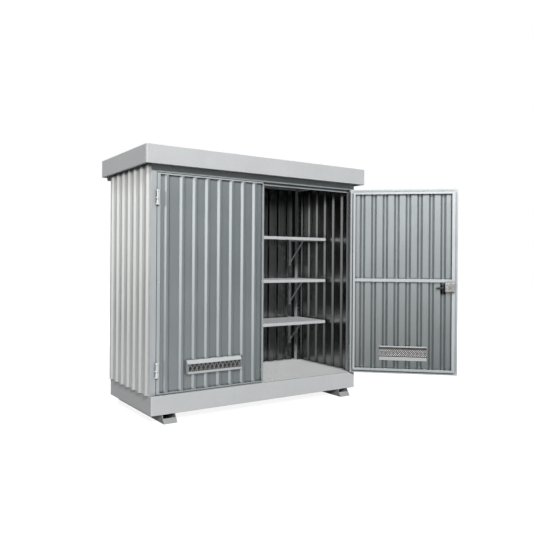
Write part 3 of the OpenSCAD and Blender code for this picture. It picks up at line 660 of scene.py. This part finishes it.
def makeLockPlates():
    u, z = lock["spindle"]
    bm = bmesh.new()
    roundedPlate(bm, (u, z - plates["innerDrop"]), plates["width"], plates["innerHeight"],
                 plates["seat"], leaf["back"] + plates["innerThick"])
    roundedPlate(bm, (u, z), plates["width"], plates["outerHeight"], -plates["outerThick"], 0)
    piece = roundEdges(addPiece("lockPlates", meshFrom(bm, "lockPlates"), handleBlack), plates["round"])
    hang(shadeSmooth(piece), 1)
    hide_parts("lock_plates")
    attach(piece, "right_door")


# the waist's pairs are a distance from the spindle and a share of the hub's height there
lever = {"inner": 0.069, "outer": 0.115, "hubHeight": 0.026, "tipHeight": 0.016, "thick": 0.012,
         "innerBack": 0.043, "outerBack": -0.024, "hub": 0.008, "spindle": 0.005, "seat": 0.001, "sink": 0.002,
         "waist": ((0.018, 0.98), (0.035, 0.80)), "round": 0.0038}


def makeLever():
    u, z = lock["spindle"]
    stand = Matrix.Translation((u, 0, z)) @ upright
    big, small = lever["hubHeight"] / 2, lever["tipHeight"] / 2
    bm = bmesh.new()
    for reach, w0 in ((lever["inner"], lever["innerBack"]), (lever["outer"], lever["outerBack"])):
        upper = [(0, big), *((-x, big * share) for x, share in lever["waist"]), (-reach + small, small)]
        tip = arc((-reach + small, 0), small, math.radians(90), math.radians(270), steps=10)[1:-1]
        lower = [(x, -y) for x, y in reversed(upper[1:])]
        addOutline(bm, [(0, -big), *upper, *tip, *lower], w0, w0 + lever["thick"], stand)
    piece = addPiece("leverHandle", meshFrom(bm, "leverHandle"), handleBlack)
    roundEdges(piece, lever["round"], segments=4)
    bm = bmesh.new()
    bm.from_mesh(piece.data)
    axis = Matrix.Translation((u, 0, z)) @ sideways
    low, high = lever["outerBack"] + lever["sink"], lever["innerBack"] + lever["thick"] - lever["sink"]
    hubFront = -plates["outerThick"] - lever["seat"]
    hubBack = leaf["back"] + plates["innerThick"] + lever["seat"]
    for radius, start, end, steps in ((lever["spindle"], low, high, 24), (lever["hub"], low, hubFront, 32),
                                      (lever["hub"], hubBack, high, 32)):
        addTurned(bm, [(0, start), (radius, start), (radius, end), (0, end)], axis, steps)
    piece.data = meshFrom(bm, "leverHandle")
    piece.data.materials.append(handleBlack)
    hang(shadeSmooth(piece, angle=40), 1)
    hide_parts("door_handle")
    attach(piece, "handle")


makeLockCase()
makeLockPlates()
makeLever()
print("lock and handle made")


hinge = {"levels": (0.208, 1.667), "height": 0.130, "gap": 0.0005, "neck": 0.007, "knuckle": 0.0105,
         "edge": 0.001, "pin": 0.005, "plateLow": 0.0085, "plateHigh": 0.0155, "front": -0.0125, "seat": 0.0005,
         "lugLeft": -0.0165, "web": 0.0035, "foot": 0.012, "neckLow": 0.035, "neckHigh": 0.054, "crown": 0.112,
         "lugIn": 0.006, "webIn": 0.003, "webEnd": 0.002, "pinReach": 0.002, "overlap": 0.001}


def knuckles(runs):
    profile = [(0, runs[0][0])]
    for low, high, radius in runs:
        profile += [(radius - hinge["edge"], low), (radius, low + hinge["edge"]),
                    (radius, high - hinge["edge"]), (radius - hinge["edge"], high)]
    return profile + [(0, runs[-1][1])]


def makeFrameHinges():
    axis, half = -leaf["hingeEdge"], hinge["height"] / 2
    top, reach = half - hinge["gap"], hinge["pinReach"]
    runs = [(0, hinge["neckLow"], hinge["knuckle"]), (hinge["neckLow"], hinge["neckHigh"], hinge["neck"]),
            (hinge["neckHigh"], top, hinge["knuckle"])]
    for side in (-1, 1):
        bm = bmesh.new()
        for level in hinge["levels"]:
            z0 = level - half
            place = Matrix.Translation((axis, -leaf["face"], z0))
            addTurned(bm, knuckles(runs), place)
            addTurned(bm, [(0, half - reach), (hinge["pin"], half - reach), (hinge["pin"], half + reach),
                           (0, half + reach)], place)
            for low, high in ((0.0, hinge["foot"]), (hinge["neckHigh"], top)):
                addBlock(bm, (hinge["lugLeft"], hinge["front"], z0 + low),
                         (axis - hinge["lugIn"], hinge["seat"], z0 + high))
        name = "frameHinges" + ("Left" if side < 0 else "Right")
        piece = hang(shadeSmooth(addPiece(name, meshFrom(bm, name), zincFitting)), side, True)
        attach(piece, "store")
    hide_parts("frame_hinges")


def makeDoorHinges(name, side, node, body):
    axis, half = -leaf["hingeEdge"], hinge["height"] / 2
    runs = [(half + hinge["gap"], hinge["crown"], hinge["neck"]),
            (hinge["crown"], hinge["height"], hinge["knuckle"])]
    bm = bmesh.new()
    for level in hinge["levels"]:
        z0 = level - half
        z1 = z0 + hinge["height"]
        addTurned(bm, knuckles(runs), Matrix.Translation((axis, -leaf["face"], z0)))
        addBlock(bm, (hinge["plateLow"], hinge["front"], z0), (hinge["plateHigh"], hinge["seat"], z1))
        addBlock(bm, (axis + hinge["webIn"], -leaf["face"] - hinge["web"], z0 + half + hinge["webEnd"]),
                 (hinge["plateLow"] + hinge["overlap"], -leaf["face"] + hinge["web"], z1 - hinge["webEnd"]))
    piece = hang(shadeSmooth(addPiece(name, meshFrom(bm, name), zincFitting)), side)
    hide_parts(node)
    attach(piece, body)


makeFrameHinges()
makeDoorHinges("leftDoorHinges", -1, "left_door_hinges", "left_door")
makeDoorHinges("rightDoorHinges", 1, "right_door_hinges", "right_door")
print("hinges made")


fastener = {"radius": 0.0045, "rise": 0.0022, "screwRadius": 0.0048, "screwRise": 0.0024,
            "hingeRim": 0.022, "meetRim": 1.052, "railHeight": 0.949,
            "meetHeights": (0.949, 0.12, 0.46, 1.30, 1.56, 1.76),
            # a head's profile, in shares of its radius and its rise
            "dome": ((0, 0), (1, 0), (0.96, 0.45), (0.7, 0.85)), "rivetTop": ((0.3, 1), (0, 1)),
            "screwTop": ((0.35, 1), (0, 0.55))}
heads = headsTree()


def makeHead(name, radius, rise, top):
    bm = bmesh.new()
    profile = [(radius * across, rise * up) for across, up in fastener["dome"] + top]
    addTurned(bm, profile, Matrix(), steps=14)
    return addPiece(name, meshFrom(bm, name), zincFitting)


rivetHead = makeHead("rivetHead", fastener["radius"], fastener["rise"], fastener["rivetTop"])
screwHead = makeHead("screwHead", fastener["screwRadius"], fastener["screwRise"], fastener["screwTop"])


def addHeads(name, head, spots, turn, body, side):
    mesh = bpy.data.meshes.new(name)
    mesh.from_pydata(spots, [], [])
    piece = addPiece(name, mesh, zincFitting)
    useTree(piece, heads, {"Head": head, "Turn": turn, "Finish": zincFitting})
    shadeSmooth(hang(evaluated(piece), side), angle=50)
    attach(piece, body)


outBack = (math.radians(-90), 0, 0)
lockU0, lockZ0, lockU1, lockZ1 = lock["case"]
inset = lock["screwInset"]
caseSpots = [(u, lock["out"], z)
             for u in (lockU0 + inset, lockU1 - inset) for z in (lockZ0 + inset, lockZ1 - inset)]
addHeads("lockCaseScrews", screwHead, caseSpots, outBack, "right_door", 1)
# rivets through the rims, where the middle rail and the meeting strip are fixed
outFront = (math.radians(90), 0, 0)
rimSpots = [(fastener["hingeRim"], 0, fastener["railHeight"])]
rimSpots += [(fastener["meetRim"], 0, z) for z in fastener["meetHeights"]]
addHeads("leftLeafRivets", rivetHead, rimSpots, outFront, "left_door", -1)
addHeads("rightLeafRivets", rivetHead, rimSpots[:2], outFront, "right_door", 1)
for piece in (rivetHead, screwHead):
    bpy.data.objects.remove(piece)
print("fasteners made")


view = {"place": (-3.089, -5.162, 1.363), "yaw": 33.74, "roll": 0.40, "sensor": 36.0, "lens": 39.1025454,
        "shiftY": -0.0236364, "clipEnd": 200.0}


def makeCamera():
    data = bpy.data.cameras.new("camera")
    camera = bpy.data.objects.new("camera", data)
    scene.collection.objects.link(camera)
    data.sensor_fit = "VERTICAL"
    data.sensor_height = view["sensor"]
    data.lens = view["lens"]
    data.shift_y = view["shiftY"]
    data.clip_end = view["clipEnd"]
    turn = Matrix.Rotation(-math.radians(view["yaw"]), 4, "Z") @ Matrix.Rotation(math.radians(90), 4, "X")
    turn = turn @ Matrix.Rotation(math.radians(view["roll"]), 4, "Z")
    camera.matrix_world = Matrix.Translation(view["place"]) @ turn
    scene.camera = camera


lampAim = (0, 0, 1.2)
lamps = [
    {"name": "frontKey", "azimuth": -17.0, "height": 15.5, "distance": 24.0, "size": (4.0, 4.0), "power": 8300.0},
    {"name": "leftFill", "azimuth": -100.0, "height": 6.5, "distance": 5.0, "size": (2.5, 2.5), "power": 150.0},
    {"name": "rearFill", "azimuth": 160.0, "height": 6.0, "distance": 7.0, "size": (2.5, 2.5), "power": 620.0},
    {"name": "rightFill", "azimuth": 112.0, "height": 4.5, "distance": 8.0, "size": (2.5, 2.5), "power": 260.0}]
# each stretch of wall: its middle's direction, and the cosines where it starts and is full
surroundings = {"ambient": 0.06, "backdrop": 0.47, "lightColour": (1.0, 0.99, 0.975),
                "brightSide": {"way": (-0.996, -0.087, 0.0), "start": 0.55, "full": 0.94}, "brightLift": 0.85,
                "darkSide": {"way": (0.766, -0.643, 0.0), "start": 0.75, "full": 0.95},
                "backSide": {"way": (-0.035, 0.999, 0.0), "start": 0.965, "full": 0.992},
                "darkColour": (0.025, 0.045, 0.055), "skyLift": 1.6,
                "floorGlow": 0.90, "floorTone": 0.18, "floorBounce": 0.14, "floorSize": 60.0,
                "nearFloor": 2.5, "farFloor": 7.0, "floorMiddle": (-0.5, -0.5, 0.0), "lowTone": 0.3}


def makeLamps():
    for lamp in lamps:
        data = bpy.data.lights.new(lamp["name"], "AREA")
        data.shape = "RECTANGLE"
        data.size, data.size_y = lamp["size"]
        data.energy = lamp["power"]
        thing = bpy.data.objects.new(lamp["name"], data)
        scene.collection.objects.link(thing)
        turn = math.radians(lamp["azimuth"])
        spot = Vector((math.sin(turn) * lamp["distance"], -math.cos(turn) * lamp["distance"], lamp["height"]))
        aim = Vector(lampAim) - spot
        thing.matrix_world = Matrix.Translation(spot) @ aim.to_track_quat("-Z", "Y").to_matrix().to_4x4()
        thing.visible_camera = False


def sideShare(tree, where, side):
    along = addNode(tree, "ShaderNodeVectorMath", operation="DOT_PRODUCT", in_1=surroundings[side]["way"])
    tree.links.new(where, along.inputs[0])
    return mapped(tree, along.outputs["Value"], 0.0, 1.0, surroundings[side]["start"], surroundings[side]["full"])


# the second colour where the factor is 1, the first where it is 0
def pick(tree, factor, first, second):
    mix = addNode(tree, "ShaderNodeMix", data_type="VECTOR")
    tree.links.new(factor, mix.inputs["Factor"])
    for socket, value in ((mix.inputs[4], first), (mix.inputs[5], second)):
        if isinstance(value, tuple):
            socket.default_value = value
        else:
            tree.links.new(value, socket)
    return mix.outputs[1]


# what a shiny surface sees: pale walls, brighter on the left, dark at the right front and behind
def sideColour(tree, where):
    parts = addNode(tree, "ShaderNodeSeparateXYZ")
    tree.links.new(where, parts.inputs[0])
    rise = mapped(tree, parts.outputs[2], 0.0, surroundings["skyLift"])
    dark = combined(tree, "SUBTRACT", sideShare(tree, where, "darkSide"), rise)
    dark = combined(tree, "MAXIMUM", dark, sideShare(tree, where, "backSide"))
    bright = combined(tree, "MULTIPLY", sideShare(tree, where, "brightSide"), surroundings["brightLift"])
    lift = combined(tree, "ADD", bright, surroundings["backdrop"])
    light = addNode(tree, "ShaderNodeVectorMath", operation="SCALE", in_0=surroundings["lightColour"])
    tree.links.new(lift, light.inputs["Scale"])
    return pick(tree, dark, light.outputs[0], surroundings["darkColour"])


# 1 for rays that come from the camera, a mirror or glass
def seenDirectly(tree):
    path = addNode(tree, "ShaderNodeLightPath")
    both = combined(tree, "MAXIMUM", path.outputs["Is Camera Ray"], path.outputs["Is Glossy Ray"])
    return combined(tree, "MAXIMUM", both, path.outputs["Is Transmission Ray"])


def makeSurroundings():
    world = bpy.data.worlds.new("studio")
    scene.world = world
    world.use_nodes = True
    tree = world.node_tree
    back = tree.nodes["Background"]
    back.inputs["Strength"].default_value = 1.0
    coords = addNode(tree, "ShaderNodeTexCoord")
    path = addNode(tree, "ShaderNodeLightPath")
    shiny = pick(tree, path.outputs["Is Camera Ray"], sideColour(tree, coords.outputs["Generated"]), (1, 1, 1))
    tree.links.new(pick(tree, seenDirectly(tree), (surroundings["ambient"],) * 3, shiny), back.inputs["Color"])

    half = surroundings["floorSize"] / 2
    bm = bmesh.new()
    corners = [bm.verts.new((x, y, 0)) for x, y in ((-half, -half), (half, -half), (half, half), (-half, half))]
    bm.faces.new(corners)
    material, tree, shader = newMaterial("studioFloor")
    floor = addPiece("studioFloor", meshFrom(bm, "studioFloor"), material)
    tree.nodes.remove(shader)
    glow = addNode(tree, "ShaderNodeEmission")
    coords = addNode(tree, "ShaderNodeTexCoord")
    away = addNode(tree, "ShaderNodeVectorMath", operation="LENGTH")
    tree.links.new(coords.outputs["Object"], away.inputs[0])
    # the floor brightens to the backdrop's white before it ends
    direct = mapped(tree, away.outputs["Value"], surroundings["floorGlow"], 1.0,
                    surroundings["nearFloor"], surroundings["farFloor"])
    apart = addNode(tree, "ShaderNodeVectorMath", operation="SUBTRACT", in_1=surroundings["floorMiddle"])
    course = addNode(tree, "ShaderNodeVectorMath", operation="NORMALIZE")
    tree.links.new(coords.outputs["Object"], apart.inputs[0])
    tree.links.new(apart.outputs[0], course.inputs[0])
    around = sideColour(tree, course.outputs[0])
    lower = addNode(tree, "ShaderNodeVectorMath", operation="SCALE")
    lower.inputs["Scale"].default_value = surroundings["lowTone"]
    tree.links.new(around, lower.inputs[0])
    plain = addNode(tree, "ShaderNodeCombineXYZ")
    for i in range(3):
        tree.links.new(direct, plain.inputs[i])
    path = addNode(tree, "ShaderNodeLightPath")
    shown = pick(tree, path.outputs["Is Camera Ray"], lower.outputs[0], plain.outputs[0])
    tree.links.new(shown, glow.inputs["Color"])
    tone = addNode(tree, "ShaderNodeBsdfDiffuse", in_0=(*(surroundings["floorTone"],) * 3, 1))
    bounce = addNode(tree, "ShaderNodeBsdfDiffuse", in_0=(*(surroundings["floorBounce"],) * 3, 1))
    both = addNode(tree, "ShaderNodeAddShader")
    choose = addNode(tree, "ShaderNodeMixShader")
    tree.links.new(glow.outputs[0], both.inputs[0])
    tree.links.new(tone.outputs[0], both.inputs[1])
    tree.links.new(seenDirectly(tree), choose.inputs[0])
    tree.links.new(bounce.outputs[0], choose.inputs[1])
    tree.links.new(both.outputs[0], choose.inputs[2])
    tree.links.new(choose.outputs[0], tree.nodes["Material Output"].inputs["Surface"])


makeCamera()
makeLamps()
makeSurroundings()
scene.view_settings.view_transform = "Standard"
print("camera, lamps and floor made")
